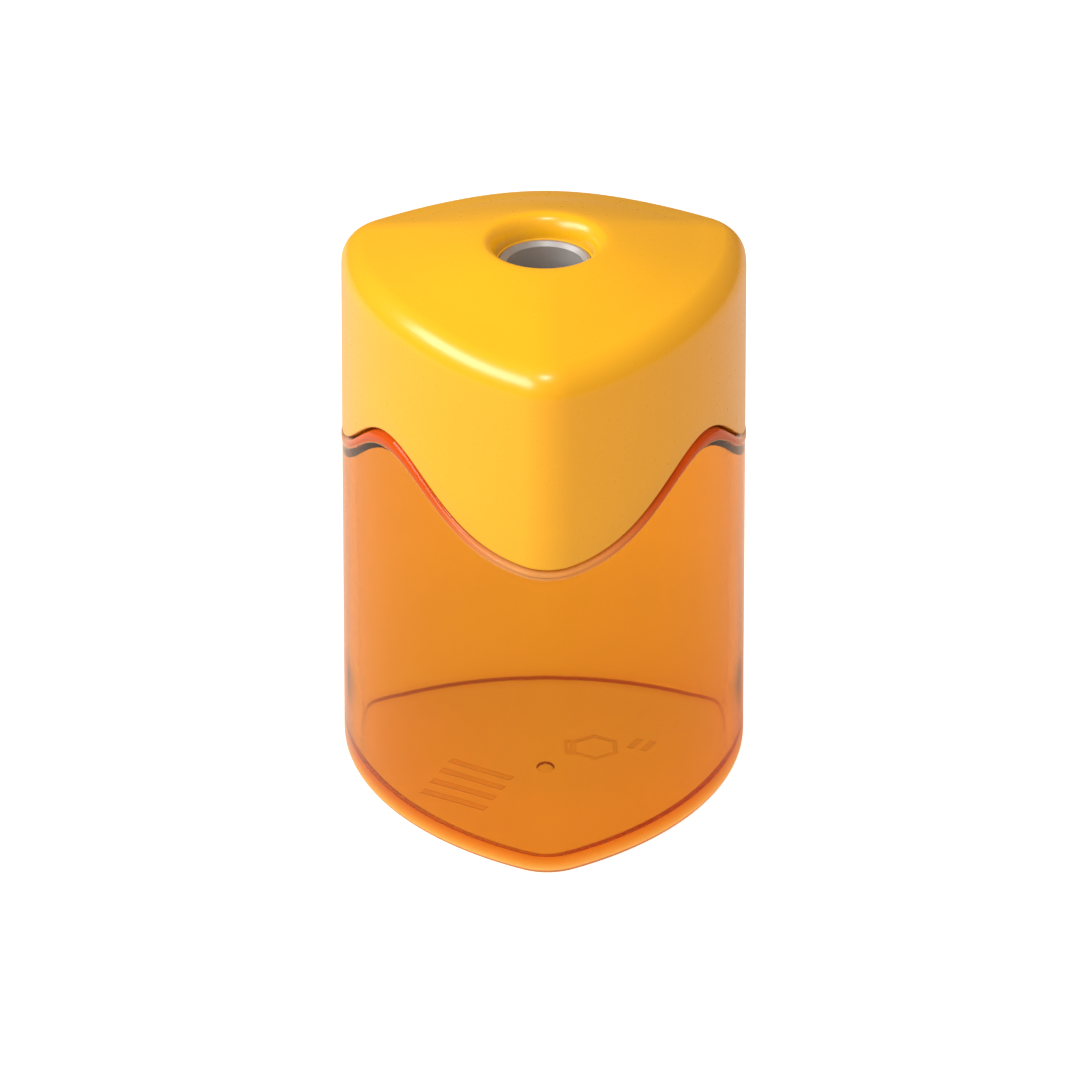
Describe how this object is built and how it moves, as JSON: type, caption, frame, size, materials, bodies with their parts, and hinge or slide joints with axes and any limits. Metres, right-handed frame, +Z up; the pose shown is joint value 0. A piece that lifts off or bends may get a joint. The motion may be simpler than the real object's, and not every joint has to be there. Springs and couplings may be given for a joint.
{
  "type": "pencil sharpener",
  "caption": "Pencil sharpener with a transparent rounded-triangle shavings container and a domed lid that carries a metal wedge sharpener.",
  "frame": {"origin": "on the container's bottom face, on the upright centre line of the rounded triangle", "axes": "+Z up along the pencil bore, -Y towards the front corner, +X to the right seen from the front"},
  "size_m": [0.042, 0.0423, 0.0615],
  "materials": {
    "clear_orange_plastic": "transparent amber-orange, moulded, polished",
    "yellow_plastic": "opaque warm yellow, moulded, glossy",
    "cast_light_metal": "cast light metal with machined bore, satin grey",
    "blade_steel": "ground and polished steel",
    "screw_steel": "turned steel, slotted head"
  },
  "bodies": {
    "container_body": {"container": "clear_orange_plastic"},
    "lid_body": {"lid": "yellow_plastic", "sharpener_body": "cast_light_metal", "blade": "blade_steel"},
    "screw_body": {"blade_screw": "screw_steel"}
  },
  "joints": [
    {"name": "lid_lift", "type": "slide", "parent": "container_body", "child": "lid_body", "axis": [0, 0, 1], "range_m": [0, 0.03]},
    {"name": "screw_turn", "type": "hinge", "parent": "lid_body", "child": "screw_body", "pos_m": [-0.00415, -0.00186, 0.04275], "axis": [0, -0.98, -0.1991], "continuous": true}
  ]
}
